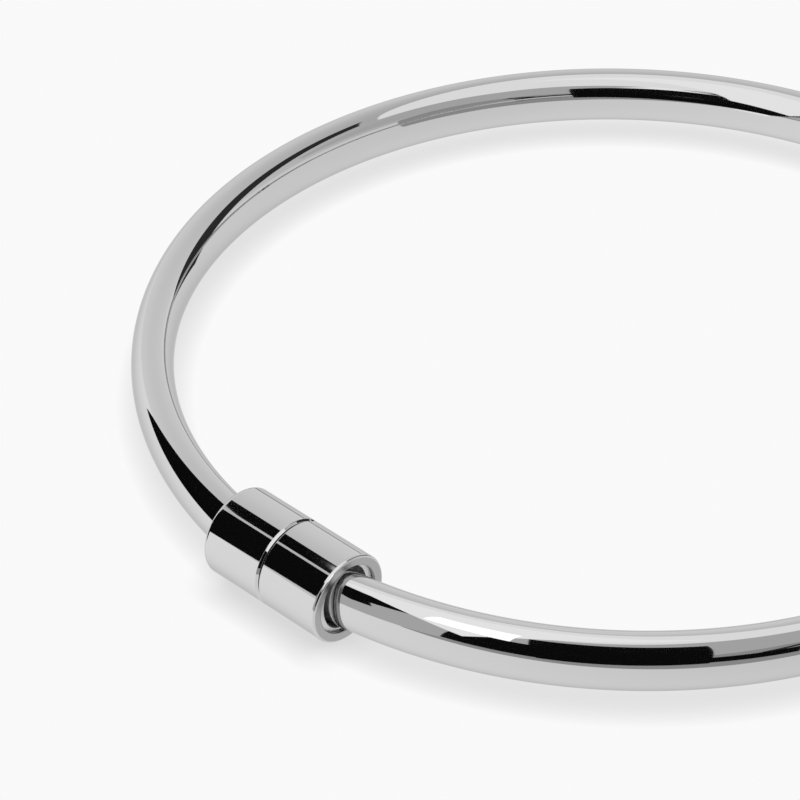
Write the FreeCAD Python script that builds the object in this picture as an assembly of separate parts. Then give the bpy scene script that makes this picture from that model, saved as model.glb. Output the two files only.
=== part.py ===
"""A rigid bangle bracelet that opens on a hinge and closes with a screw barrel clasp.

Two half hoops of polished oval wire meet at a three-knuckle hinge at the back (+Y) and at a
round barrel at the front (-Y). The barrel is two short cylinders with one seam between them:
a collar soldered to the fixed arm, which carries a threaded stud, and a nut that turns on the
swinging arm and screws onto the stud. A guide ring with an oval hole sits in the nut's mouth,
behind a burnished lip. It rides on the oval wire, so the nut can turn while the ring cannot.

The frame's origin is the centre of the hoop, half way up the wire. +Z is the hoop's axis, the
barrel lies along X, the fixed arm is on the -X side and the swinging arm on the +X side.
Every length is in millimetres and every angle in degrees.
"""

import FreeCAD, Part
import math
import os

Vector = FreeCAD.Vector

# Hoop
inner_diameter = 59.0        # what the wrist has
wire_width = 2.8             # across the oval wire, towards the wrist
wire_height = 4.0            # along the hoop's axis

# Barrel clasp, outside
collar_length = 4.75         # the fixed half of the barrel
nut_length = 4.8             # the turning half
seam_gap = 0.06              # what is left between the two halves when the nut is tight
seam_chamfer = 0.14          # the bright line each side of the seam
mouth_bevel = 0.2            # rounded edge at the nut's open end
collar_bevel = 0.3           # rounded edge where the fixed arm enters the collar
lip_thickness = 0.25         # the burnished lip at the nut's open end
lip_overlap = 0.2            # how far the lip laps over the guide ring

# Clasp, inside. Each ring is built outwards from the wire.
wire_clearance = 0.08        # round the wire, in the guide ring's oval hole
button_catch = 0.1           # how far the button laps over the top of the guide ring's hole
button_clearance = 0.12      # between the button and the nut's thread crests
thread_clearance = 0.1       # crest to crest, so that the arm can swing with the nut in any place
guide_wall = 0.4             # the guide ring above its hole
nut_wall = 0.42              # the nut's wall round the guide ring
thread_pitch = 0.5
thread_depth = 0.18
thread_half_mouth = 0.18     # half the groove's width at the crests
turns_to_open = 4
neck_length = 0.36           # plain neck at the stud's foot, where the thread runs out
neck_relief = 0.04           # how much deeper than the thread the neck is
stud_nose_chamfer = 0.25
stud_shank_length = 2.0      # how far the stud is let into the collar
button_thickness = 0.7
pin_diameter = 1.3           # locating pin that lines the two arms up
pin_reach = 1.0              # how far it stands out of the button
pin_point = 0.3
pin_clearance = 0.1
peg_diameter = 1.2           # pegs that centre an end fitting on the wire
peg_length = 1.15

# Hinge
hinge_pin_diameter = 1.2
knuckle_proud = 0.35         # how far the knuckles stand out past the wire's sides
middle_knuckle_height = 1.5
knuckle_gap = 0.05           # between stacked knuckles
knuckle_round = 0.4
shoulder_clearance = 0.12    # between a knuckle and the shoulder that it turns past
fitting_web = 1.6            # solid length of each hinge fitting before its wire starts
rivet_head_diameter = 1.9
rivet_head_height = 0.3

# Fits
running_clearance = 0.03     # hinge pin in the turning knuckle
turning_clearance = 0.05     # guide ring in the nut
face_gap = 0.05
solder_gap = 0.01

# Worked out from the above
hoop_radius = (inner_diameter + wire_width) / 2
half_barrel = (collar_length + nut_length) / 2
# The barrel is straight and the hoop is round: the wire crosses the barrel's axis at its ends.
barrel_offset = math.sqrt(hoop_radius ** 2 - half_barrel ** 2)

hole_half_height = wire_height / 2 + wire_clearance
button_radius = hole_half_height + button_catch
nut_crest_radius = button_radius + button_clearance
stud_radius = nut_crest_radius - thread_clearance
neck_radius = stud_radius - thread_depth - neck_relief
guide_radius = hole_half_height + guide_wall
chamber_radius = guide_radius + turning_clearance
barrel_radius = chamber_radius + nut_wall
lip_radius = guide_radius - lip_overlap

nut_travel = turns_to_open * thread_pitch
collar_end = -collar_length
collar_face = -seam_gap / 2
stud_back = -stud_shank_length
neck_end = neck_length
stud_end = nut_travel + stud_nose_chamfer
button_front = stud_end + face_gap
button_back = button_front + button_thickness
guide_back = button_back + face_gap
guide_front = nut_length - lip_thickness - face_gap
nut_shoulder = guide_back - face_gap
nut_face = seam_gap / 2

knuckle_radius = wire_width / 2 + knuckle_proud
shoulder_radius = knuckle_radius + shoulder_clearance
fitting_angle = math.degrees((shoulder_radius + fitting_web) / hoop_radius)
middle_top = middle_knuckle_height / 2
outer_bottom = middle_top + knuckle_gap
wire_top = wire_height / 2

HINGE_AT = 90.0              # angle round the hoop, from +X
CLASP_AT = -90.0


# Shapes that several pieces share

def cylinder_along_barrel(radius, start, end):
    """A cylinder on the barrel's axis, from one X to another."""
    return Part.makeCylinder(radius, end - start, Vector(start, -barrel_offset, 0), Vector(1, 0, 0))


def lathe_along_barrel(profile):
    """A closed outline of (X, radius) points, turned round the barrel's axis."""
    points = [Vector(x, radius - barrel_offset, 0) for x, radius in profile]
    outline = Part.makePolygon(points + points[:1])
    return Part.Face(outline).revolve(Vector(0, -barrel_offset, 0), Vector(1, 0, 0), 360)


def rounded_corner(x, radius, size, start_angle, end_angle, steps=6):
    """Points on a quarter-round edge of a lathe outline, about a centre at (x, radius)."""
    turns = [start_angle + (end_angle - start_angle) * k / steps for k in range(steps + 1)]
    return [(x + size * math.cos(math.radians(a)), radius + size * math.sin(math.radians(a))) for a in turns]


def oval(half_width, half_height, centre):
    """An upright oval face, its width along X and its height along Z."""
    up = Vector(0, 0, half_height)
    across = Vector(half_width, 0, 0)
    longer, shorter = (up, across) if half_height >= half_width else (across, up)
    edge = Part.Ellipse(centre + longer, centre + shorter, centre).toShape()
    return Part.Face(Part.Wire(edge))


def hoop_piece(start_angle, end_angle, grow=0.0):
    """A stretch of the round hoop between two angles, its wire grown all round."""
    face = oval(wire_width / 2 + grow, wire_height / 2 + grow, Vector(hoop_radius, 0, 0))
    face.rotate(Vector(0, 0, 0), Vector(0, 0, 1), start_angle)
    return face.revolve(Vector(0, 0, 0), Vector(0, 0, 1), end_angle - start_angle)


def wire_y(x):
    """Where the wire's centre line is, in Y, at an X inside the barrel."""
    return -math.sqrt(hoop_radius ** 2 - x ** 2)


def hinge_cylinder(radius, bottom, top):
    return Part.makeCylinder(radius, top - bottom, Vector(0, hoop_radius, bottom), Vector(0, 0, 1))


def barrel_block(start, end):
    """A block round the barrel between two values of X, which trims a wire square to the barrel."""
    size = 4 * barrel_radius
    corner = Vector(start, -barrel_offset - size / 2, -size / 2)
    return Part.makeBox(end - start, size, size, corner)


def thread_groove(start, end, crest_radius, depth):
    """A right-hand V groove on the barrel's axis. A negative depth cuts inwards, for a stud."""
    lap = math.copysign(0.04, depth)
    outline = Part.makePolygon([
        Vector(crest_radius - lap, 0, -thread_half_mouth),
        Vector(crest_radius + depth, 0, 0),
        Vector(crest_radius - lap, 0, thread_half_mouth),
        Vector(crest_radius - lap, 0, -thread_half_mouth),
    ])
    helix = Part.makeHelix(thread_pitch, end - start, crest_radius)
    groove = Part.Wire(helix.Edges).makePipeShell([outline], True, True)
    groove.rotate(Vector(0, 0, 0), Vector(0, 1, 0), 90)
    groove.translate(Vector(start, -barrel_offset, 0))
    return groove


def hoop_peg(angle, length, radius):
    """A straight peg along the wire, standing on the section at that angle."""
    turn = math.radians(angle)
    foot = Vector(math.cos(turn), math.sin(turn), 0) * hoop_radius
    along = Vector(-math.sin(turn), math.cos(turn), 0) * math.copysign(1, length)
    return Part.makeCylinder(radius, abs(length), foot, along)


# The two half hoops

def fixed_arm():
    """Oval wire from the collar round the -X side to the hinge fork."""
    joint_angle = HINGE_AT + fitting_angle
    hole_radius = peg_diameter / 2 + solder_gap
    hole_depth = peg_length + solder_gap
    wire = hoop_piece(joint_angle, CLASP_AT + 360)
    wire = wire.cut(barrel_block(stud_back, barrel_radius))
    wire = wire.cut(cylinder_along_barrel(hole_radius, stud_back - hole_depth, stud_back))
    return wire.cut(hoop_peg(joint_angle, hole_depth, hole_radius))


def swing_arm():
    """Oval wire from the button inside the nut round the +X side to the hinge tongue."""
    joint_angle = HINGE_AT - fitting_angle
    hole_depth = peg_length + solder_gap
    wire = hoop_piece(CLASP_AT, joint_angle)
    wire = wire.cut(barrel_block(-barrel_radius, button_back))
    pin_hole_radius = pin_diameter / 2 + solder_gap
    wire = wire.cut(cylinder_along_barrel(pin_hole_radius, button_back, button_back + hole_depth))
    return wire.cut(hoop_peg(joint_angle, -hole_depth, peg_diameter / 2 + solder_gap))


# The hinge

def outer_knuckle():
    """The upper of the fork's two knuckles, rounded over at its free end."""
    disc = hinge_cylinder(knuckle_radius, outer_bottom, wire_top)
    rim = [edge for edge in disc.Edges if min(vertex.Z for vertex in edge.Vertexes) > wire_top - solder_gap]
    return disc.makeFillet(knuckle_round, rim)


def rivet_head(grow):
    """The pin's upper countersunk head, or, grown, the seat for it."""
    foot = Vector(0, hoop_radius, wire_top - rivet_head_height)
    small = hinge_pin_diameter / 2 + grow
    return Part.makeCone(small, rivet_head_diameter / 2 + grow, rivet_head_height, foot)


def both_sides(shape):
    """A shape above the hoop's middle plane, and the same shape mirrored below it."""
    return shape, shape.mirror(Vector(0, 0, 0), Vector(0, 0, 1))


def hinge_fork():
    """Two outer knuckles on the fixed arm, with a slot between them for the tongue."""
    joint_angle = HINGE_AT + fitting_angle
    body = hoop_piece(HINGE_AT, joint_angle)
    body = body.fuse(both_sides(outer_knuckle()))
    body = body.cut(hinge_cylinder(shoulder_radius, -outer_bottom, outer_bottom))
    body = body.cut(hinge_cylinder(hinge_pin_diameter / 2 + solder_gap, -wire_height, wire_height))
    body = body.cut(both_sides(rivet_head(solder_gap)))
    return body.fuse(hoop_peg(joint_angle, peg_length, peg_diameter / 2)).removeSplitter()


def hinge_tongue():
    """One middle knuckle on the swinging arm, which turns between the fork's two."""
    joint_angle = HINGE_AT - fitting_angle
    body = hoop_piece(joint_angle, HINGE_AT)
    body = body.cut(both_sides(hinge_cylinder(shoulder_radius, middle_top, wire_height)))
    body = body.fuse(hinge_cylinder(knuckle_radius, -middle_top, middle_top))
    body = body.cut(hinge_cylinder(hinge_pin_diameter / 2 + running_clearance, -wire_height, wire_height))
    return body.fuse(hoop_peg(joint_angle, -peg_length, peg_diameter / 2)).removeSplitter()


def hinge_pin():
    """A rivet through all three knuckles, its heads filed flush."""
    pin = hinge_cylinder(hinge_pin_diameter / 2, -wire_top, wire_top)
    return pin.fuse(both_sides(rivet_head(0))).removeSplitter()


# The fixed half of the clasp

def clasp_collar():
    """The half of the barrel that is soldered to the fixed arm."""
    outline = rounded_corner(collar_end + collar_bevel, barrel_radius - collar_bevel, collar_bevel, 180, 90)
    outline += [(collar_face - seam_chamfer, barrel_radius), (collar_face, barrel_radius - seam_chamfer)]
    outline += [(collar_face, 0), (collar_end, 0)]
    shell = lathe_along_barrel(outline)
    shell = shell.cut(cylinder_along_barrel(stud_radius + solder_gap, stud_back, nut_face))
    socket = hoop_piece(CLASP_AT - 3 * fitting_angle, CLASP_AT, solder_gap)
    return shell.cut(socket)


def threaded_stud():
    """The screwed stud that the nut runs on, with a socket for the locating pin."""
    outline = [
        (stud_back, 0), (stud_back, stud_radius), (collar_face, stud_radius), (collar_face, neck_radius),
        (neck_end, neck_radius), (neck_end, stud_radius), (stud_end - stud_nose_chamfer, stud_radius),
        (stud_end, stud_radius - stud_nose_chamfer), (stud_end, 0),
    ]
    socket_bottom = button_front - pin_reach - face_gap
    body = lathe_along_barrel(outline)
    groove_start = neck_end - thread_half_mouth - solder_gap
    body = body.cut(thread_groove(groove_start, stud_end + thread_pitch, stud_radius, -thread_depth))
    body = body.cut(cylinder_along_barrel(pin_diameter / 2 + pin_clearance, socket_bottom, stud_end))
    peg = cylinder_along_barrel(peg_diameter / 2, stud_back - peg_length, stud_back)
    return body.fuse(peg).removeSplitter()


# The turning half of the clasp

def clasp_nut():
    """The half of the barrel that turns: thread, shoulder, chamber and burnished lip."""
    lip_back = nut_length - lip_thickness
    outline = [(nut_face, barrel_radius - seam_chamfer), (nut_face + seam_chamfer, barrel_radius)]
    outline += rounded_corner(nut_length - mouth_bevel, barrel_radius - mouth_bevel, mouth_bevel, 90, 0)
    outline += [
        (nut_length, lip_radius), (lip_back, lip_radius), (lip_back, chamber_radius),
        (nut_shoulder, chamber_radius), (nut_shoulder, nut_crest_radius), (nut_face, nut_crest_radius),
    ]
    groove = thread_groove(nut_face - thread_pitch, stud_end, nut_crest_radius, thread_depth)
    return lathe_along_barrel(outline).cut(groove)


def guide_ring():
    """Rides on the oval wire without turning, and keeps the nut centred on it.

    The nut travels straight and the wire curves, so the hole is an oval drawn out sideways to
    hold the wire at both ends of the travel.
    """
    slant = hoop_radius / -wire_y(guide_front + nut_travel)
    half_width = wire_width / 2 * slant + wire_clearance
    outer_y = wire_y(guide_back)
    inner_y = wire_y(guide_front + nut_travel)
    thickness = guide_front - guide_back
    corner = Vector(guide_back, outer_y, -hole_half_height)
    hole = Part.makeBox(thickness, inner_y - outer_y, 2 * hole_half_height, corner)
    for end_y in (outer_y, inner_y):
        end = oval(half_width, hole_half_height, Vector(0, 0, 0)).extrude(Vector(0, thickness, 0))
        end.rotate(Vector(0, 0, 0), Vector(0, 0, 1), -90)
        end.translate(Vector(guide_back, end_y, 0))
        hole = hole.fuse(end)
    return cylinder_along_barrel(guide_radius, guide_back, guide_front).cut(hole).removeSplitter()


def end_button():
    """The flange on the swinging arm's end, which the nut pulls up against the stud."""
    disc = cylinder_along_barrel(button_radius, button_front, button_back)
    return disc.cut(cylinder_along_barrel(pin_diameter / 2 + solder_gap, button_front, button_back))


def locating_pin():
    """A pin through the button into the wire. Its point finds the socket in the stud."""
    tip = button_front - pin_reach
    radius = pin_diameter / 2
    end = button_back + peg_length
    outline = [(tip, 0), (tip, radius - pin_point), (tip + pin_point, radius), (end, radius), (end, 0)]
    return lathe_along_barrel(outline)


PIECES = {
    "fixed_arm": fixed_arm,
    "swing_arm": swing_arm,
    "hinge_fork": hinge_fork,
    "hinge_tongue": hinge_tongue,
    "hinge_pin": hinge_pin,
    "clasp_collar": clasp_collar,
    "threaded_stud": threaded_stud,
    "clasp_nut": clasp_nut,
    "guide_ring": guide_ring,
    "end_button": end_button,
    "locating_pin": locating_pin,
}

os.makedirs("parts", exist_ok=True)
for name, build in PIECES.items():
    shape = build()
    solid = shape.Solids[0]
    box = solid.optimalBoundingBox()
    print(f"{name}: {len(shape.Solids)} solid, valid {solid.isValid()}, {solid.Volume:.2f} mm3, "
          f"{box.XLength:.2f} x {box.YLength:.2f} x {box.ZLength:.2f} mm")
    solid.exportStep(f"parts/{name}.step")
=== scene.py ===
# %% [markdown]
# # A hinged bangle with a screw barrel clasp
#
# This lesson dresses a finished CAD part. The CAD model gives every piece its place and its size,
# and this script gives each one the smooth skin and the polish that the real metal has. All
# lengths are in metres, in the CAD model's own frame: the hoop lies flat round the Z axis, the
# barrel clasp is at -Y with its axis along X, and the hinge is at +Y.

# %% Load the CAD frame
import math

import bmesh
import bpy
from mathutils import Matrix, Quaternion, Vector


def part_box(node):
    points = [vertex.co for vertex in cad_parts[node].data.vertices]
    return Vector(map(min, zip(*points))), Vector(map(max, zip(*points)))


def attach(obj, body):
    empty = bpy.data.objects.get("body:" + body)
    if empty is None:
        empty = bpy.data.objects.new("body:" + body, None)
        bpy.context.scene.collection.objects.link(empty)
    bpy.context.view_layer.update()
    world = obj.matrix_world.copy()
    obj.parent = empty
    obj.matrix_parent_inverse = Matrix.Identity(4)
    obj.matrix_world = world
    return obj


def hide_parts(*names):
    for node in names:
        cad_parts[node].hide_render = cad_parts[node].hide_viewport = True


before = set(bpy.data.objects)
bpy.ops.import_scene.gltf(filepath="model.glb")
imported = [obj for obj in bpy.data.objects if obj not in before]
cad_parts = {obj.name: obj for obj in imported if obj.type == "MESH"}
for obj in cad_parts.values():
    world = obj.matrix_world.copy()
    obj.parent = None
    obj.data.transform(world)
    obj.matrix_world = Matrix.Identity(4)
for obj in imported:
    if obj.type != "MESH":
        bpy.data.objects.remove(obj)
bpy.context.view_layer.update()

MM = 0.001
NANOMETRE = 1e-9

# %% [markdown]
# ## Sizes read from the frame
#
# Nothing is measured twice. The hoop's radius, the wire's height and the barrel's places all come
# from the boxes round the CAD nodes, so that the visible skin can't drift away from the model that
# it covers. Only what a box can't give, such as the wire's width, is stated here.

# %% Read the main sizes
arm_low, arm_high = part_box("fixed_arm")
collar_low, collar_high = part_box("clasp_collar")
nut_low, nut_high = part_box("clasp_nut")
button_low, button_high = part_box("end_button")
guide_low, guide_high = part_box("guide_ring")
stud_low, stud_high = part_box("threaded_stud")
locator_low, locator_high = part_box("locating_pin")
rivet_low, rivet_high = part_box("hinge_pin")

WIRE_WIDTH = 2.8 * MM
wire_height = arm_high.z - arm_low.z
wire_top = wire_height / 2
hoop_radius = -arm_low.x - WIRE_WIDTH / 2
hinge_y = (rivet_low.y + rivet_high.y) / 2
barrel_y = (nut_low.y + nut_high.y) / 2
barrel_radius = (nut_high.z - nut_low.z) / 2
print(f"hoop radius {hoop_radius / MM:.2f} mm, barrel radius {barrel_radius / MM:.2f} mm")
print(f"barrel's axis at y {barrel_y / MM:.2f} mm, hinge pin at y {hinge_y / MM:.2f} mm")

# %% [markdown]
# ## Mirror-polished white metal
#
# A polished bangle has almost no colour of its own. What the eye reads as steel or silver is the
# room, reflected in it. The shader is therefore a plain metal with a very low roughness. Real
# polishing still leaves two things: faint patches where the buffing wheel dwelt, which change the
# roughness a little, and hairlines too fine to see one by one. Both come from noise in Object
# coordinates, so that they stay on the metal when a piece moves.

# %% Two helpers for every node tree
def link(tree, source, target):
    tree.links.new(source, target)


def add_node(tree, kind, **values):
    """A node with some of its input sockets already set or linked."""
    made = tree.nodes.new(kind)
    for socket, value in values.items():
        target = made.inputs[socket.replace("_", " ")]
        if isinstance(value, bpy.types.NodeSocket):
            link(tree, value, target)
        else:
            target.default_value = value
    return made


# %% The shared polish recipe
PATCH_SCALE = 220.0
PATCH_DETAIL = 3.0
HAIRLINE_DETAIL = 2.0


def polished_metal(name, colour, edge, roughness, patchiness, hairline_scale, hairline_depth):
    """A metal whose roughness wanders a little and whose surface carries fine hairlines.

    An edge value under 1 darkens the metal where it turns away from the eye. The hairline scale
    says how tightly the noise is packed along X, Y and Z."""
    material = bpy.data.materials.new(name)
    material.use_nodes = True
    tree = material.node_tree
    shader = tree.nodes["Principled BSDF"]
    shader.inputs["Base Color"].default_value = (*colour, 1)
    shader.inputs["Metallic"].default_value = 1.0
    shader.inputs["Specular Tint"].default_value = (edge, edge, edge, 1)
    place = tree.nodes.new("ShaderNodeTexCoord")

    patches = add_node(
        tree, "ShaderNodeTexNoise", Vector=place.outputs["Object"], Scale=PATCH_SCALE, Detail=PATCH_DETAIL)
    spread = add_node(
        tree, "ShaderNodeMapRange", Value=patches.outputs["Fac"],
        To_Min=roughness - patchiness, To_Max=roughness + patchiness)
    link(tree, spread.outputs["Result"], shader.inputs["Roughness"])

    stretch = add_node(tree, "ShaderNodeMapping", Vector=place.outputs["Object"], Scale=hairline_scale)
    hairlines = add_node(
        tree, "ShaderNodeTexNoise", Vector=stretch.outputs["Vector"], Scale=1.0, Detail=HAIRLINE_DETAIL)
    bump = add_node(
        tree, "ShaderNodeBump", Height=hairlines.outputs["Fac"], Strength=1.0, Distance=hairline_depth)
    link(tree, bump.outputs["Normal"], shader.inputs["Normal"])
    return material


# %% [markdown]
# The bangle has five finishes. The wire was drawn, bent and buffed by hand. The barrel was turned
# on a lathe, so its hairlines run round its axis: packing the noise tightly along X and stretching
# it along Y and Z does that. The works inside the clasp were turned and left as they came, which
# makes them rough, and their darker colour is painted shade for the inside of the clasp and the
# nut's mouth. The guide ring was left satin so that it slides. The hinge was polished after it was
# filed to shape, which leaves it a little less even than the wire.

# %% Make the finishes
WHITE_METAL = (0.70, 0.70, 0.703)
wire_polish = polished_metal(
    "polished wire", WHITE_METAL, edge=0.65, roughness=0.035, patchiness=0.012,
    hairline_scale=(900, 900, 2600), hairline_depth=40 * NANOMETRE)
barrel_polish = polished_metal(
    "turned and polished barrel", WHITE_METAL, edge=0.65, roughness=0.032, patchiness=0.010,
    hairline_scale=(9000, 300, 300), hairline_depth=30 * NANOMETRE)
# The works' metal is darker than the polish: painted shade for the inside of the clasp and the nut's mouth.
inner_finish_with_painted_shade = polished_metal(
    "fine turned clasp works with painted shade", (0.48, 0.48, 0.485), edge=0.6, roughness=0.28, patchiness=0.06,
    hairline_scale=(6000, 260, 260), hairline_depth=100 * NANOMETRE)
satin_finish = polished_metal(
    "satin guide ring", (0.82, 0.82, 0.82), edge=0.8, roughness=0.48, patchiness=0.08,
    hairline_scale=(2500, 2500, 2500), hairline_depth=600 * NANOMETRE)
hinge_polish = polished_metal(
    "polished hinge", (0.69, 0.69, 0.693), edge=0.65, roughness=0.045, patchiness=0.015,
    hairline_scale=(1500, 1500, 3200), hairline_depth=60 * NANOMETRE)
print("finishes:", [m.name for m in bpy.data.materials])

# %% [markdown]
# ## Two half hoops of oval wire
#
# On the bench an arm is a length of oval wire bent round a mandrel. It could be modelled as a
# bevelled curve object or as a lathed torus cut in half. Geometry Nodes say it more directly: an
# arc, an oval, and one sweep. The tree takes its sizes as named inputs, so that the same tree also
# makes the short stubs of the hinge.

# %% Helpers for building and running a geometry tree
def new_tree(name, inputs):
    """A geometry tree with named inputs. Returns the tree, its input sockets and its end."""
    tree = bpy.data.node_groups.new(name, "GeometryNodeTree")
    for label, kind in inputs.items():
        tree.interface.new_socket(name=label, in_out="INPUT", socket_type="NodeSocket" + kind)
    tree.interface.new_socket(name="Geometry", in_out="OUTPUT", socket_type="NodeSocketGeometry")
    start = tree.nodes.new("NodeGroupInput")
    return tree, start.outputs, tree.nodes.new("NodeGroupOutput")


def finish_tree(tree, geometry, material, end):
    """Every tree ends by making its result real, smooth and of one metal."""
    real = add_node(tree, "GeometryNodeRealizeInstances", Geometry=geometry)
    smooth = add_node(tree, "GeometryNodeSetShadeSmooth", Geometry=real.outputs["Geometry"])
    painted = add_node(
        tree, "GeometryNodeSetMaterial", Geometry=smooth.outputs["Geometry"], Material=material)
    link(tree, painted.outputs["Geometry"], end.inputs["Geometry"])


def grow(tree, name, settings):
    """Runs a tree with these settings and returns its result as a plain mesh object."""
    holder = bpy.data.objects.new(name + " holder", bpy.data.meshes.new(name + " seed"))
    bpy.context.scene.collection.objects.link(holder)
    modifier = holder.modifiers.new("grow", "NODES")
    modifier.node_group = tree
    for item in tree.interface.items_tree:
        if item.in_out == "INPUT" and item.name in settings:
            modifier[item.identifier] = settings[item.name]
    evaluated = holder.evaluated_get(bpy.context.evaluated_depsgraph_get())
    mesh = bpy.data.meshes.new_from_object(evaluated)
    mesh.name = name
    holder.modifiers.remove(modifier)
    bpy.data.objects.remove(holder)
    piece = bpy.data.objects.new(name, mesh)
    bpy.context.scene.collection.objects.link(piece)
    print(f"{name}: {len(mesh.polygons)} faces")
    return piece


# %% The tree that sweeps an oval round an arc
wire_inputs = {
    "Hoop Radius": "Float", "Start Angle": "Float", "Sweep Angle": "Float",
    "Half Width": "Float", "Half Height": "Float", "Stations": "Int", "Section Points": "Int",
    "Metal": "Material",
}
wire_tree, wire_in, wire_end = new_tree("oval wire along an arc", wire_inputs)
arc = add_node(
    wire_tree, "GeometryNodeCurveArc", Resolution=wire_in["Stations"], Radius=wire_in["Hoop Radius"],
    Start_Angle=wire_in["Start Angle"], Sweep_Angle=wire_in["Sweep Angle"])
upright = add_node(wire_tree, "GeometryNodeSetCurveNormal", Curve=arc.outputs["Curve"])
upright.mode = "Z_UP"
circle = add_node(
    wire_tree, "GeometryNodeCurvePrimitiveCircle", Resolution=wire_in["Section Points"], Radius=1.0)
oval_size = add_node(
    wire_tree, "ShaderNodeCombineXYZ", X=wire_in["Half Width"], Y=wire_in["Half Height"], Z=1.0)
oval = add_node(
    wire_tree, "GeometryNodeTransform", Geometry=circle.outputs["Curve"], Scale=oval_size.outputs["Vector"])
swept = add_node(
    wire_tree, "GeometryNodeCurveToMesh", Curve=upright.outputs["Curve"],
    Profile_Curve=oval.outputs["Geometry"], Fill_Caps=True)
finish_tree(wire_tree, swept.outputs["Mesh"], wire_in["Metal"], wire_end)
print(wire_tree.name, "has", len(wire_tree.nodes), "nodes")

# %% [markdown]
# The fixed arm starts inside the collar and the swinging arm starts inside the nut, behind the
# button. Those two ends are found from their X inside the barrel: an arcsine turns it into an angle
# round the hoop. At the hinge both arms stop where the hinge fittings start.

# %% Sweep the two arms
SECTION_POINTS = 128
ARM_STATIONS = 420
FITTING_LENGTH = 3.47 * MM
ARM_END_IN_COLLAR = -2.2 * MM
GAP_BEHIND_BUTTON = 0.15 * MM
CLASP_ANGLE = -math.pi / 2
HINGE_ANGLE = math.pi / 2


def angle_at_x(x):
    """The angle round the hoop, near the clasp, of the wire's centre at this X."""
    return CLASP_ANGLE + math.asin(x / hoop_radius)


def sweep_wire(name, start, end, stations, metal):
    return grow(wire_tree, name, {
        "Hoop Radius": hoop_radius, "Start Angle": start, "Sweep Angle": end - start,
        "Half Width": WIRE_WIDTH / 2, "Half Height": wire_height / 2,
        "Stations": stations, "Section Points": SECTION_POINTS, "Metal": metal,
    })


fitting_angle = FITTING_LENGTH / hoop_radius
collar_angle = angle_at_x(ARM_END_IN_COLLAR) + 2 * math.pi
button_angle = angle_at_x(button_high.x + GAP_BEHIND_BUTTON)
fixed_arm = sweep_wire(
    "fixed_arm_wire", HINGE_ANGLE + fitting_angle, collar_angle, ARM_STATIONS, wire_polish)
swing_arm = sweep_wire(
    "swing_arm_wire", button_angle, HINGE_ANGLE - fitting_angle, ARM_STATIONS, wire_polish)
for arm in (fixed_arm, swing_arm):
    spans = [[v.co[axis] / MM for v in arm.data.vertices] for axis in range(3)]
    print(arm.name, "size in mm", [round(max(span) - min(span), 2) for span in spans])

# %% [markdown]
# ## The barrel, turned on a lathe
#
# Collar, nut, guide ring, button and stud are all turned. A Screw modifier could spin their
# outlines, but a small function gives two things that it doesn't: rounded corners worked out from
# a radius, with a narrow band each side of them that keeps the flats looking flat in a mirror
# finish, and an outline that may change with the angle, which the guide ring's oval hole needs.

# %% Round the corners of an outline
def rounded(corners, steps=6, band=0.015 * MM):
    """Points of a closed outline whose corners are (x, radius, rounding)."""
    points = []
    count = len(corners)
    for i, (x, r, rounding) in enumerate(corners):
        here = Vector((x, r))
        if rounding == 0:
            points.append(here)
            continue
        back = (Vector(corners[i - 1][:2]) - here).normalized()
        ahead = (Vector(corners[(i + 1) % count][:2]) - here).normalized()
        half = math.acos(max(-1.0, min(1.0, back.dot(ahead)))) / 2
        centre = here + (back + ahead).normalized() * rounding / math.sin(half)
        first = here + back * rounding / math.tan(half)
        last = here + ahead * rounding / math.tan(half)
        bend = math.pi - 2 * half
        points.append(first + back * band)
        # Two spokes of the corner's circle, weighted by sines, give every spoke between them.
        for k in range(steps + 1):
            part_first = math.sin(bend * (1 - k / steps)) / math.sin(bend)
            part_last = math.sin(bend * k / steps) / math.sin(bend)
            points.append(centre + (first - centre) * part_first + (last - centre) * part_last)
        points.append(last + ahead * band)
    return points


# %% The lathe
MERGE_DISTANCE = 1e-8
TURNED_SHARP_ANGLE = math.radians(30)


def join_rings(name, rings, metal):
    """A closed skin of one metal over rings of points, each joined to the next."""
    shape = bmesh.new()
    loops = [[shape.verts.new(point) for point in ring] for ring in rings]
    for k, ring in enumerate(loops):
        after = loops[(k + 1) % len(loops)]
        for j in range(len(ring)):
            n = (j + 1) % len(ring)
            shape.faces.new((ring[j], ring[n], after[n], after[j]))
    bmesh.ops.remove_doubles(shape, verts=shape.verts, dist=MERGE_DISTANCE)
    bmesh.ops.dissolve_degenerate(shape, edges=shape.edges, dist=MERGE_DISTANCE)
    bmesh.ops.recalc_face_normals(shape, faces=shape.faces)
    mesh = bpy.data.meshes.new(name)
    shape.to_mesh(mesh)
    shape.free()
    mesh.shade_smooth()
    mesh.set_sharp_from_angle(angle=TURNED_SHARP_ANGLE)
    mesh.materials.append(metal)
    piece = bpy.data.objects.new(name, mesh)
    bpy.context.scene.collection.objects.link(piece)
    return piece


def turn(name, outline_at, metal, segments=256):
    """Spins an outline round the barrel's axis. outline_at(angle) gives its (x, radius) points."""
    rings = []
    for k in range(segments):
        angle = 2 * math.pi * k / segments
        c, s = math.cos(angle), math.sin(angle)
        rings.append([(x, barrel_y + r * c, r * s) for x, r in outline_at(angle)])
    piece = join_rings(name, rings, metal)
    print(f"{name}: {len(piece.data.polygons)} faces")
    return piece


# %% [markdown]
# The collar is the half of the barrel that is soldered to the fixed arm. Its seam edge has a small
# chamfer: with the nut's matching one it makes the fine bright line round the middle of the barrel.
# The wire runs straight into its back face. Its outline stops just short of the axis, where the
# wire and the stud fill it.

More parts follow.
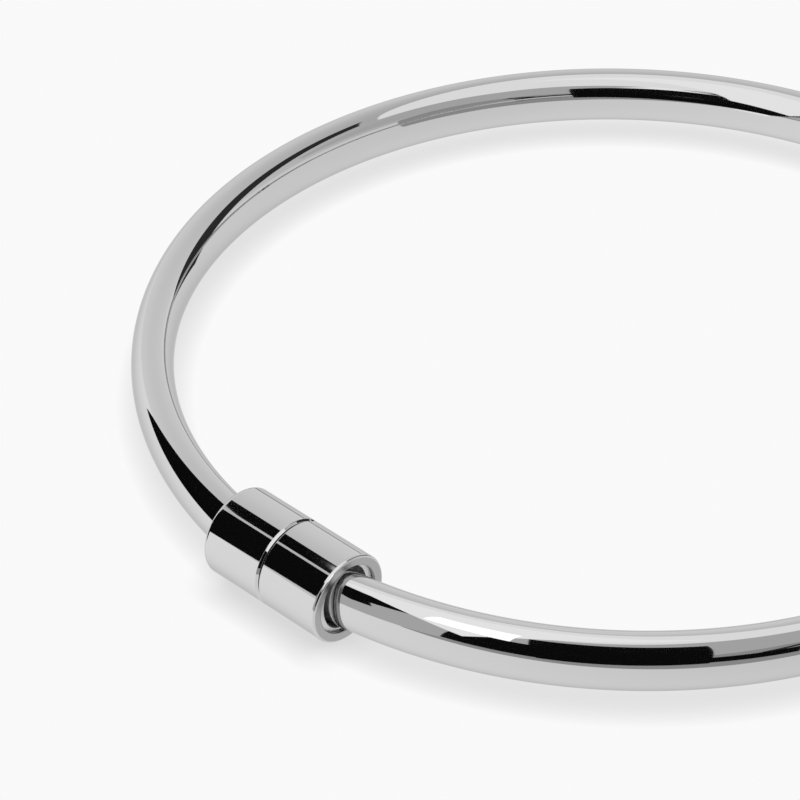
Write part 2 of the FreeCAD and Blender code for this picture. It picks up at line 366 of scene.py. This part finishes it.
# %% Turn the collar
FINE_EDGE = 0.04 * MM
SEAM_CHAMFER = 0.14 * MM
COLLAR_BEVEL = 0.3 * MM
COLLAR_CORE = 0.2 * MM
collar_outline = rounded([
    (collar_low.x, COLLAR_CORE, 0),
    (collar_low.x, barrel_radius, COLLAR_BEVEL),
    (collar_high.x - SEAM_CHAMFER, barrel_radius, FINE_EDGE),
    (collar_high.x, barrel_radius - SEAM_CHAMFER, FINE_EDGE),
    (collar_high.x, COLLAR_CORE, 0),
])
collar = turn("collar_shell", lambda angle: collar_outline, barrel_polish)

# %% [markdown]
# The nut is the half that turns. Its open end has a narrow rounded edge and then a thin lip, which
# on the bench is burnished over the guide ring. Behind the lip the bore widens into the guide
# ring's chamber, and in front of it runs the thread. The mouth and the bore aren't buffed, so their
# faces get the rougher finish of the works inside, whose darker colour is painted shade there.

# %% Turn the nut
CRISP_EDGE = 0.02 * MM
MOUTH_BEVEL = 0.19 * MM
LIP_THICKNESS = 0.25 * MM
LIP_OVERLAP = 0.2 * MM
LIP_EDGE = 0.08 * MM
TURNING_CLEARANCE = 0.05 * MM
THREAD_DEPTH = 0.18 * MM
THREAD_CLEARANCE = 0.1 * MM
THREAD_MOUTH_EDGE = 0.03 * MM
stud_radius = (stud_high.z - stud_low.z) / 2
guide_radius = (guide_high.z - guide_low.z) / 2
chamber_radius = guide_radius + TURNING_CLEARANCE
lip_radius = guide_radius - LIP_OVERLAP
nut_root_radius = stud_radius + THREAD_CLEARANCE + THREAD_DEPTH
nut_outline = rounded([
    (nut_low.x, nut_root_radius, THREAD_MOUTH_EDGE),
    (nut_low.x, barrel_radius - SEAM_CHAMFER, FINE_EDGE),
    (nut_low.x + SEAM_CHAMFER, barrel_radius, FINE_EDGE),
    (nut_high.x, barrel_radius, MOUTH_BEVEL),
    (nut_high.x, lip_radius, LIP_EDGE),
    (nut_high.x - LIP_THICKNESS, lip_radius, FINE_EDGE),
    (nut_high.x - LIP_THICKNESS, chamber_radius, CRISP_EDGE),
    (button_high.x, chamber_radius, CRISP_EDGE),
    (button_high.x, nut_root_radius, CRISP_EDGE),
])
nut = turn("nut_shell", lambda angle: nut_outline, barrel_polish)

# %% Give the mouth and the bore their own finish and painted shade
BUFFED_UNSHADED_PART_OF_BEVEL = 0.8
SEAM_FACE_DEPTH = 0.05 * MM
buffed_and_unshaded_from = barrel_radius - MOUTH_BEVEL * BUFFED_UNSHADED_PART_OF_BEVEL
nut.data.materials.append(inner_finish_with_painted_shade)
# Faces in the mouth and the bore take the works' metal, whose darker colour is painted shade.
for face in nut.data.polygons:
    radius = math.hypot(face.center.y - barrel_y, face.center.z)
    if radius < buffed_and_unshaded_from and face.center.x > nut_low.x + SEAM_FACE_DEPTH:
        face.material_index = 1
print("inner faces:", sum(face.material_index for face in nut.data.polygons))

# %% [markdown]
# The guide ring is a disc with an oval hole. The nut pulls it straight along while the wire curves
# away, so the hole is wider than the wire: an oval drawn out sideways. For each angle round the
# ring the function below finds where the hole's edge is, and the lathe joins that to the round rim.

# %% Find the guide ring's oval hole
WIRE_CLEARANCE = 0.08 * MM
NUT_TRAVEL = 2.0 * MM


def wire_y(x):
    """The Y of the wire's centre at this X, near the clasp."""
    return -math.sqrt(hoop_radius ** 2 - x ** 2)


outer_shift = wire_y(guide_low.x) - barrel_y
inner_shift = wire_y(guide_high.x + NUT_TRAVEL) - barrel_y
hole_half_height = wire_height / 2 + WIRE_CLEARANCE
hole_half_width = WIRE_WIDTH / 2 * hoop_radius / -wire_y(guide_high.x + NUT_TRAVEL) + WIRE_CLEARANCE
print(f"hole {2 * hole_half_width / MM:.2f} mm wide, drawn out by {(inner_shift - outer_shift) / MM:.2f} mm")


def hole_edge(angle):
    """How far the oval hole's edge is from the barrel's axis, in this direction."""
    c, s = math.cos(angle), math.sin(angle)
    reach = []
    for shift in (outer_shift, inner_shift):
        a = (c / hole_half_width) ** 2 + (s / hole_half_height) ** 2
        b = -2 * c * shift / hole_half_width ** 2
        d = (shift / hole_half_width) ** 2 - 1
        reach.append((-b + math.sqrt(b * b - 4 * a * d)) / (2 * a))
    if abs(s) > 1e-6:
        flat = hole_half_height / abs(s)
        if outer_shift <= flat * c <= inner_shift:
            reach.append(flat)
    return max(reach)


# %% Turn the guide ring
GUIDE_CHAMFER = 0.1 * MM
GUIDE_BACK_EDGE = 0.03 * MM


def guide_outline(angle):
    edge = hole_edge(angle)
    return rounded([
        (guide_low.x, edge, GUIDE_BACK_EDGE),
        (guide_low.x, guide_radius, GUIDE_BACK_EDGE),
        (guide_high.x - GUIDE_CHAMFER, guide_radius, CRISP_EDGE),
        (guide_high.x, guide_radius - GUIDE_CHAMFER, CRISP_EDGE),
        (guide_high.x, edge, GUIDE_CHAMFER),
    ], steps=4, band=0.008 * MM)


guide = turn("guide_ring_turned", guide_outline, satin_finish, segments=192)

# %% [markdown]
# Inside the clasp a threaded stud stands out of the collar, and a flanged button with a pointed
# locating pin ends the swinging arm. They are only seen when the bangle is open, but then they are
# the first thing that the eye goes to, so they get real chamfers and a real thread.

# %% Turn the stud
NECK_LENGTH = 0.36 * MM
NECK_RELIEF = 0.04 * MM
NECK_EDGE = 0.01 * MM
STUD_NOSE_EDGE = 0.05 * MM
SOCKET_CLEARANCE = 0.1 * MM
SOCKET_MOUTH_EDGE = 0.06 * MM
SOCKET_EXTRA_DEPTH = 0.05 * MM
STUD_ROOT_DEPTH = 0.5 * MM
STUD_CORE = 0.02 * MM
thread_root = stud_radius - THREAD_DEPTH
locator_radius = (locator_high.z - locator_low.z) / 2
socket_radius = locator_radius + SOCKET_CLEARANCE
socket_end = locator_low.x - SOCKET_EXTRA_DEPTH
stud_start = collar_high.x - STUD_ROOT_DEPTH
stud_outline = rounded([
    (stud_start, thread_root - NECK_RELIEF, 0),
    (NECK_LENGTH, thread_root - NECK_RELIEF, NECK_EDGE),
    (NECK_LENGTH, thread_root, NECK_EDGE),
    (stud_high.x, thread_root - NECK_RELIEF, STUD_NOSE_EDGE),
    (stud_high.x, socket_radius, SOCKET_MOUTH_EDGE),
    (socket_end, socket_radius, CRISP_EDGE),
    (socket_end, STUD_CORE, 0),
    (stud_start, STUD_CORE, 0),
], steps=4, band=0.004 * MM)
stud = turn("stud_core", lambda angle: stud_outline, inner_finish_with_painted_shade, segments=160)

# %% Turn the button and the locating pin
BUTTON_CORE = 0.3 * MM
BUTTON_FRONT_EDGE = 0.12 * MM
BUTTON_BACK_EDGE = 0.05 * MM
PIN_CORE = 0.01 * MM
PIN_POINT = 0.3 * MM
PIN_EDGE = 0.06 * MM
button_radius = (button_high.z - button_low.z) / 2
button_outline = rounded([
    (button_low.x, BUTTON_CORE, 0),
    (button_low.x, button_radius, BUTTON_FRONT_EDGE),
    (button_high.x, button_radius, BUTTON_BACK_EDGE),
    (button_high.x, BUTTON_CORE, 0),
])
button = turn("button_flange", lambda angle: button_outline, inner_finish_with_painted_shade, segments=160)
locator_outline = rounded([
    (locator_low.x, PIN_CORE, 0),
    (locator_low.x, locator_radius - PIN_POINT, PIN_EDGE),
    (locator_low.x + PIN_POINT, locator_radius, PIN_EDGE),
    (locator_high.x, locator_radius, CRISP_EDGE),
    (locator_high.x, PIN_CORE, 0),
])
locator = turn("locating_pin_turned", lambda angle: locator_outline, inner_finish_with_painted_shade, segments=96)

# %% [markdown]
# A screw thread follows a path, so it is made by Geometry Nodes: a spiral, and a triangle swept
# along it. Cutting a groove with a boolean would give the same look with far worse edges. The same
# tree makes the nut's inner thread, with its triangle pointing the other way.

# %% The tree that sweeps a thread ridge
STEPS_PER_TURN = 96
thread_inputs = {
    "Radius": "Float", "Pitch": "Float", "Turns": "Float", "Start": "Float", "Ridge Height": "Float",
    "Axis Y": "Float", "Metal": "Material",
}
thread_tree, thread_in, thread_end = new_tree("screw thread", thread_inputs)
length = thread_tree.nodes.new("ShaderNodeMath")
length.operation = "MULTIPLY"
link(thread_tree, thread_in["Pitch"], length.inputs[0])
link(thread_tree, thread_in["Turns"], length.inputs[1])
spiral = add_node(
    thread_tree, "GeometryNodeCurveSpiral", Resolution=STEPS_PER_TURN, Rotations=thread_in["Turns"],
    Start_Radius=thread_in["Radius"], End_Radius=thread_in["Radius"], Height=length.outputs["Value"])
level = add_node(thread_tree, "GeometryNodeSetCurveNormal", Curve=spiral.outputs["Curve"])
level.mode = "Z_UP"
triangle = add_node(thread_tree, "GeometryNodeCurvePrimitiveCircle", Resolution=3, Radius=1.0)
half_pitch = thread_tree.nodes.new("ShaderNodeMath")
half_pitch.operation = "MULTIPLY"
half_pitch.inputs[1].default_value = 0.5
link(thread_tree, thread_in["Pitch"], half_pitch.inputs[0])
ridge_size = add_node(
    thread_tree, "ShaderNodeCombineXYZ", X=thread_in["Ridge Height"], Y=half_pitch.outputs["Value"], Z=1.0)
ridge = add_node(
    thread_tree, "GeometryNodeTransform", Geometry=triangle.outputs["Curve"],
    Scale=ridge_size.outputs["Vector"])
wound = add_node(
    thread_tree, "GeometryNodeCurveToMesh", Curve=level.outputs["Curve"],
    Profile_Curve=ridge.outputs["Geometry"], Fill_Caps=True)
place_at = add_node(thread_tree, "ShaderNodeCombineXYZ", X=thread_in["Start"], Y=thread_in["Axis Y"])
laid = add_node(
    thread_tree, "GeometryNodeTransform", Geometry=wound.outputs["Mesh"],
    Translation=place_at.outputs["Vector"], Rotation=(0, math.pi / 2, 0))
finish_tree(thread_tree, laid.outputs["Geometry"], thread_in["Metal"], thread_end)
print(thread_tree.name, "has", len(thread_tree.nodes), "nodes")

# %% Wind both threads
PITCH = 0.5 * MM
NOSE_CHAMFER = 0.25 * MM
STUD_THREAD_LEAD = 0.2 * MM
STUD_THREAD_TAIL = 0.05 * MM
NUT_THREAD_LEAD = 0.3 * MM
NUT_THREAD_TAIL = 0.1 * MM


def wind(name, radius, start, end, ridge_height):
    return grow(thread_tree, name, {
        "Radius": radius, "Pitch": PITCH, "Turns": (end - start) / PITCH, "Start": start,
        "Ridge Height": ridge_height, "Axis Y": barrel_y, "Metal": inner_finish_with_painted_shade,
    })


# A triangle drawn in a circle is 3/2 of its radius tall, and a third of that is behind its middle.
TRIANGLE_REACH = 2 / 3
stud_thread = wind(
    "stud_thread", thread_root + THREAD_DEPTH / 3, NECK_LENGTH + STUD_THREAD_LEAD,
    stud_high.x - NOSE_CHAMFER - STUD_THREAD_TAIL, THREAD_DEPTH * TRIANGLE_REACH)
nut_thread = wind(
    "nut_thread", nut_root_radius - THREAD_DEPTH / 3, nut_low.x + NUT_THREAD_LEAD,
    button_low.x - NUT_THREAD_TAIL, -THREAD_DEPTH * TRIANGLE_REACH)
for thread in (stud_thread, nut_thread):
    reach = [math.hypot(v.co.y - barrel_y, v.co.z) / MM for v in thread.data.vertices]
    print(thread.name, "reaches from", round(min(reach), 3), "to", round(max(reach), 3), "mm from its axis")

# %% [markdown]
# ## The hinge
#
# Each half of the hinge is a short stub of the same oval wire with knuckles on its end. The stubs
# come from the wire tree. The knuckles are discs with a soft outer edge, and the shoulders that let
# them turn are cut with a boolean against a plain cylinder. Boolean cuts leave long thin faces, so
# the normals are set by angle afterwards, which keeps flats flat and rounds round.

# %% Hinge helpers
KNUCKLE_PROUD = 0.35 * MM
SHOULDER_CLEARANCE = 0.12 * MM
MIDDLE_KNUCKLE_HEIGHT = 1.5 * MM
KNUCKLE_GAP = 0.05 * MM
RIVET_RADIUS = 0.6 * MM
RIVET_CLEARANCE = 0.02 * MM
TOOL_CORE = 0.001 * MM
CUT_SHARP_ANGLE = math.radians(28)
knuckle_radius = WIRE_WIDTH / 2 + KNUCKLE_PROUD
shoulder_radius = knuckle_radius + SHOULDER_CLEARANCE
middle_top = MIDDLE_KNUCKLE_HEIGHT / 2
outer_bottom = middle_top + KNUCKLE_GAP
print(f"knuckle radius {knuckle_radius / MM:.2f} mm, shoulder radius {shoulder_radius / MM:.2f} mm")


def upright_disc(name, corners, segments=192):
    """Corners of (height, radius, rounding), spun round the hinge pin's axis."""
    outline = rounded(corners, steps=5, band=0.01 * MM)
    rings = []
    for k in range(segments):
        angle = 2 * math.pi * k / segments
        rings.append([(r * math.cos(angle), hinge_y + r * math.sin(angle), z) for z, r in outline])
    return join_rings(name, rings, hinge_polish)


def knuckle(name, bottom, top, top_edge, bottom_edge):
    """A disc with a hole for the rivet."""
    bore = RIVET_RADIUS + RIVET_CLEARANCE
    return upright_disc(name, [
        (bottom, bore, CRISP_EDGE), (bottom, knuckle_radius, bottom_edge),
        (top, knuckle_radius, top_edge), (top, bore, CRISP_EDGE)])


def cutter(name, bottom, top):
    """A plain cylinder, wide enough to clear a knuckle that turns."""
    return upright_disc(name, [
        (bottom, TOOL_CORE, 0), (bottom, shoulder_radius, 0), (top, shoulder_radius, 0), (top, TOOL_CORE, 0)])


def carve(piece, tool, operation):
    """Joins a tool to a piece, or cuts it away, and removes the tool."""
    modifier = piece.modifiers.new("carve", "BOOLEAN")
    modifier.object = tool
    modifier.operation = operation
    modifier.solver = "EXACT"
    evaluated = piece.evaluated_get(bpy.context.evaluated_depsgraph_get())
    mesh = bpy.data.meshes.new_from_object(evaluated)
    piece.modifiers.remove(modifier)
    piece.data = mesh
    bpy.data.objects.remove(tool)
    mesh.shade_smooth()
    mesh.set_sharp_from_angle(angle=CUT_SHARP_ANGLE)


# %% [markdown]
# The fork carries the upper and the lower knuckle, and the tongue carries the middle one. Both
# stubs start half a knuckle away from the pin, so that each reaches well into its own knuckles, and
# the cutters then clear the room that the other half's knuckles need.

# %% Build the fork and the tongue
KNUCKLE_ROUND = 0.4 * MM
KNUCKLE_EDGE = 0.05 * MM
STUB_STATIONS = 48
stub_angle = 0.5 * knuckle_radius / hoop_radius
fork = sweep_wire(
    "hinge_fork_fitting", HINGE_ANGLE + stub_angle, HINGE_ANGLE + fitting_angle, STUB_STATIONS, hinge_polish)
carve(fork, cutter("slot tool", -outer_bottom, outer_bottom), "DIFFERENCE")
carve(fork, knuckle("upper knuckle", outer_bottom, wire_top, KNUCKLE_ROUND, KNUCKLE_EDGE), "UNION")
carve(fork, knuckle("lower knuckle", -wire_top, -outer_bottom, KNUCKLE_EDGE, KNUCKLE_ROUND), "UNION")

tongue = sweep_wire(
    "hinge_tongue_fitting", HINGE_ANGLE - fitting_angle, HINGE_ANGLE - stub_angle, STUB_STATIONS,
    hinge_polish)
for bottom, top in ((middle_top, wire_height), (-wire_height, -middle_top)):
    carve(tongue, cutter("shoulder tool", bottom, top), "DIFFERENCE")
carve(tongue, knuckle("middle knuckle", -middle_top, middle_top, KNUCKLE_EDGE, KNUCKLE_EDGE), "UNION")
for fitting in (fork, tongue):
    print(fitting.name, len(fitting.data.polygons), "faces after carving")

# %% [markdown]
# The rivet is a plain pin whose two ends were hammered into low domed heads. Half of its outline is
# written down and the other half is the same one upside down.

# %% Turn the rivet
RIVET_HEAD_RADIUS = 0.95 * MM
RIVET_HEAD_HEIGHT = 0.3 * MM
HEAD_EDGE = 0.03 * MM
CROWN_HEIGHT = 0.09 * MM
CROWN_ROUND = 0.3 * MM
CROWN_PART = 0.6
RIVET_CORE = 0.02 * MM
upper_half = [
    (wire_top - RIVET_HEAD_HEIGHT, RIVET_RADIUS, CRISP_EDGE),
    (wire_top - CROWN_HEIGHT, RIVET_HEAD_RADIUS, HEAD_EDGE),
    (wire_top - CROWN_HEIGHT * (1 - CROWN_PART), RIVET_HEAD_RADIUS * CROWN_PART, CROWN_ROUND),
    (wire_top, RIVET_CORE, 0),
]
lower_half = [(-z, r, rounding) for z, r, rounding in reversed(upper_half)]
rivet = upright_disc("hinge_rivet", upper_half + lower_half)
print(rivet.name, len(rivet.data.polygons), "faces")

# %% [markdown]
# ## Riding on the CAD
#
# Each visible piece is tied to the CAD body that it belongs to, so that it moves with the joints,
# and the plain CAD nodes that it stands for are hidden.

# %% Tie the pieces to their bodies
riders = [
    (fixed_arm, "fixed_half", ["fixed_arm"], "polished_wire"),
    (swing_arm, "swing_half", ["swing_arm"], "polished_wire"),
    (collar, "fixed_half", ["clasp_collar"], "turned_clasp"),
    (nut, "nut", ["clasp_nut"], "turned_clasp"),
    (guide, "guide", ["guide_ring"], "clasp_works"),
    (stud, "fixed_half", ["threaded_stud"], "clasp_works"),
    (stud_thread, "fixed_half", [], "clasp_works"),
    (nut_thread, "nut", [], "turned_clasp"),
    (button, "swing_half", ["end_button"], "clasp_works"),
    (locator, "swing_half", ["locating_pin"], "clasp_works"),
    (fork, "fixed_half", ["hinge_fork"], "hinge_metal"),
    (tongue, "swing_half", ["hinge_tongue"], "hinge_metal"),
    (rivet, "fixed_half", ["hinge_pin"], "hinge_metal"),
]
for piece, body, nodes, slot in riders:
    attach(piece, body)
    if nodes:
        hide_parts(*nodes)

# %% [markdown]
# ## The white room
#
# Polished metal is lit by what surrounds it. A studio would use a light tent, white all round but
# never quite even. The world background stands for it: one gentle gradient below the tent's seam
# and a darker one above it, both brighter towards -X. Lamps could light the same scene, but a
# mirror would show them as hard spots.

# %% Grade the room
scene = bpy.context.scene
scene.view_settings.view_transform = "Standard"
room = bpy.data.worlds.new("white room")
scene.world = room
room.use_nodes = True
room_tree = room.node_tree
background = room_tree.nodes["Background"]
background.inputs["Strength"].default_value = 1.0
facing = room_tree.nodes.new("ShaderNodeNewGeometry")


def graded_side(level, slope):
    """A level that changes evenly across the room, by this much for each axis."""
    tilt = room_tree.nodes.new("ShaderNodeVectorMath")
    tilt.operation = "DOT_PRODUCT"
    tilt.inputs[1].default_value = slope
    link(room_tree, facing.outputs["Position"], tilt.inputs[0])
    total = room_tree.nodes.new("ShaderNodeMath")
    total.operation = "ADD"
    total.inputs[1].default_value = level
    link(room_tree, tilt.outputs["Value"], total.inputs[0])
    return total.outputs["Value"]


TENT_SEAM = 0.14
LOW_LEVEL = 0.88
LOW_SLOPE = (-0.12, 0.0, 0.0)
HIGH_LEVEL = 0.74
HIGH_SLOPE = (-0.16, 0.11, -0.22)
axes = add_node(room_tree, "ShaderNodeSeparateXYZ", Vector=facing.outputs["Position"])
is_above = room_tree.nodes.new("ShaderNodeMath")
is_above.operation = "GREATER_THAN"
is_above.inputs[1].default_value = TENT_SEAM
link(room_tree, axes.outputs["Z"], is_above.inputs[0])
halves = add_node(
    room_tree, "ShaderNodeMix", Factor=is_above.outputs["Value"],
    A=graded_side(LOW_LEVEL, LOW_SLOPE), B=graded_side(HIGH_LEVEL, HIGH_SLOPE))
link(room_tree, halves.outputs["Result"], background.inputs["Color"])
print(f"room: {LOW_LEVEL} below the seam, {HIGH_LEVEL} above it")

# %% [markdown]
# ## The table
#
# The bangle lies on pale paper, lit so evenly that only a faint soft shadow shows under it. A
# diffuse surface would need lamps to get that right. Here the paper gives its own light instead,
# and an Ambient Occlusion node dims it where metal is close above. Mirrors don't see the table,
# because the white room under it does that job.

# %% Lay the table
PAPER_WHITE = 0.95
SHADOW_REACH = 2.2 * MM
SHADOW_DEPTH = 0.28
SHADOW_FULL_AT = 0.3
SHADOW_SAMPLES = 16
TABLE_HALF = 1.5
TABLE_GAP = 0.01 * MM
table_z = -barrel_radius - TABLE_GAP
table_corners = [
    (-TABLE_HALF, -TABLE_HALF, table_z), (TABLE_HALF, -TABLE_HALF, table_z),
    (TABLE_HALF, TABLE_HALF, table_z), (-TABLE_HALF, TABLE_HALF, table_z)]
table_mesh = bpy.data.meshes.new("table top")
table_mesh.from_pydata(table_corners, [], [(0, 1, 2, 3)])
table = bpy.data.objects.new("table_top", table_mesh)
scene.collection.objects.link(table)

paper = bpy.data.materials.new("pale paper")
paper.use_nodes = True
paper_tree = paper.node_tree
paper_tree.nodes.clear()
near = add_node(paper_tree, "ShaderNodeAmbientOcclusion", Distance=SHADOW_REACH)
near.samples = SHADOW_SAMPLES
shade = add_node(
    paper_tree, "ShaderNodeMapRange", Value=near.outputs["AO"], From_Min=SHADOW_FULL_AT,
    To_Min=PAPER_WHITE * (1 - SHADOW_DEPTH), To_Max=PAPER_WHITE)
glow = add_node(paper_tree, "ShaderNodeEmission", Color=(1, 1, 1, 1), Strength=shade.outputs["Result"])
add_node(paper_tree, "ShaderNodeOutputMaterial", Surface=glow.outputs["Emission"])
table_mesh.materials.append(paper)
table.visible_glossy = False
print(f"table {TABLE_GAP / MM} mm under the barrel, at z {table_z / MM:.2f} mm")

# %% [markdown]
# ## Cards round the bangle
#
# In an all-white room a polished hoop would nearly vanish, so a jeweller's studio puts cards round
# it. The reflections of black cards draw the dark stripes that show its form, grey ones shade its
# sides, and white ones leave bright windows in the black. Dark shapes mixed into the world
# background could do this too, but a card is easier to move and to reason about. Each card here is
# a rectangle at an azimuth, an elevation and a distance from the hoop's centre. Only mirrors see a
# card, and only its front face, so it doesn't darken the table, doesn't show in another view and
# doesn't reflect in the far side of the hoop.

# %% Set up the cards
def card_paint(name, level):
    """Light of this level from a card's front, and nothing at all from its back."""
    paint = bpy.data.materials.new(name)
    paint.use_nodes = True
    tree = paint.node_tree
    tree.nodes.clear()
    front = add_node(tree, "ShaderNodeEmission", Color=(level, level, level, 1), Strength=1.0)
    clear = tree.nodes.new("ShaderNodeBsdfTransparent")
    side = tree.nodes.new("ShaderNodeNewGeometry")
    choose = add_node(tree, "ShaderNodeMixShader", Fac=side.outputs["Backfacing"])
    link(tree, front.outputs["Emission"], choose.inputs[1])
    link(tree, clear.outputs["BSDF"], choose.inputs[2])
    add_node(tree, "ShaderNodeOutputMaterial", Surface=choose.outputs["Shader"])
    return paint


def hang_card(name, azimuth, elevation, distance, width, height, roll, paint):
    """Azimuth runs from +Y towards +X. The card faces the hoop's centre."""
    a, e = math.radians(azimuth), math.radians(elevation)
    outward = Vector((math.sin(a) * math.cos(e), math.cos(a) * math.cos(e), math.sin(e)))
    across = Vector((math.cos(a), -math.sin(a), 0))
    up = Vector((-math.sin(a) * math.sin(e), -math.cos(a) * math.sin(e), math.cos(e)))
    roll_by = Quaternion(outward, -math.radians(roll))
    centre = outward * distance * MM
    w = roll_by @ across * width * MM / 2
    h = roll_by @ up * height * MM / 2
    corners = [centre - w - h, centre + w - h, centre + w + h, centre - w + h]
    if (corners[1] - corners[0]).cross(corners[2] - corners[1]).dot(outward) > 0:
        corners.reverse()
    mesh = bpy.data.meshes.new(name)
    mesh.from_pydata([tuple(c) for c in corners], [], [(0, 1, 2, 3)])
    mesh.materials.append(paint)
    card = bpy.data.objects.new(name, mesh)
    scene.collection.objects.link(card)
    card.visible_camera = False
    card.visible_diffuse = False
    card.visible_shadow = False
    card.visible_transmission = False


# %% Paint the cards
black = card_paint("black card", 0.004)
charcoal = card_paint("charcoal card", 0.03)
dark_grey = card_paint("dark grey card", 0.335)
grey = card_paint("grey card", 0.50)
pale = card_paint("pale card", 0.98)
soft_white = card_paint("soft white card", 1.08)
bright = card_paint("bright card", 1.6)
print("paints:", [m.name for m in bpy.data.materials if m.name.endswith("card")])

# %% [markdown]
# The front cards make the black bar along the near arm and the white windows over it. The back
# ones do the same on the far arm. The two black cards on the left give the barrel its broad and its
# narrow stripe, and the left arm its wedge. The mouth wedge darkens the near arm where it leaves
# the barrel. The others add thin lines and soft shades, and one large white card hangs overhead.

# %% Hang the cards
# Name, azimuth, elevation and distance, then width, height and roll, then paint. Angles are in
# degrees and lengths in millimetres.
cards = [
    ("front black", 139, 14.5, 64, 32, 43, -1, black),
    ("front black foot", 157.5, 7, 61, 18, 20, 6, black),
    ("front white", 156, 31, 36, 20, 30, 41, soft_white),
    ("front bright", 157, 8.5, 34.5, 6.5, 3.5, 7, bright),
    ("back black", 160, 17, 17, 31, 30, -9, black),
    ("back white", 202, 38, 18, 9, 90, -24, soft_white),
    ("left black", 226, 22.5, 210, 315, 150, -61, black),
    ("left high black", 255.5, 55, 200, 73, 16, 10, black),
    ("far right streak", 20, 22, 275, 93, 405, -35.5, charcoal),
    ("low dark grey", 131, 2, 300, 750, 205, 2, dark_grey),
    ("low right black", 117.5, 1, 110, 38, 20, 3, black),
    ("small right grey", 109.5, 8, 135, 21, 7.5, -32, charcoal),
    ("middle grey", 135, 26.5, 70, 700, 47, -17, grey),
    ("high thin line", 114, 39, 130, 68, 8, 0, charcoal),
    ("mouth wedge", 182, 29, 100, 63, 44, -38, black),
    ("overhead white", 138, 73, 120, 175, 175, 42, pale),
]
for card in cards:
    hang_card(*card)
print(len(cards), "cards hung")

# %% [markdown]
# ## The camera
#
# A long lens from about two hands' breadths away, looking down past the clasp, with the far right
# of the hoop beyond the edge of the view. A wide lens held closer would swell the near arm, and a
# longer one from further off would flatten the hoop.

# %% Place the camera
CAMERA_AZIMUTH = 44.43
CAMERA_ELEVATION = 37.29
CAMERA_DISTANCE = 217.5 * MM
CAMERA_ROLL = -0.52
CAMERA_LENS = 152.6
SENSOR_WIDTH = 36.0
NEAREST_SEEN = 5 * MM
AIM = Vector((-6.63 * MM, -14.34 * MM, 0))
camera_data = bpy.data.cameras.new("camera")
camera_data.lens = CAMERA_LENS
camera_data.sensor_width = SENSOR_WIDTH
camera_data.clip_start = NEAREST_SEEN
camera = bpy.data.objects.new("camera", camera_data)
scene.collection.objects.link(camera)
a, e = math.radians(CAMERA_AZIMUTH), math.radians(CAMERA_ELEVATION)
back = Vector((math.sin(a) * math.cos(e), -math.cos(a) * math.cos(e), math.sin(e)))
camera.location = AIM + back * CAMERA_DISTANCE
camera.rotation_mode = "QUATERNION"
level_look = (-back).to_track_quat("-Z", "Y")
camera.rotation_quaternion = level_look @ Quaternion((0, 0, 1), math.radians(CAMERA_ROLL))
scene.camera = camera
print("camera at", [round(v / MM, 1) for v in camera.location], "mm")
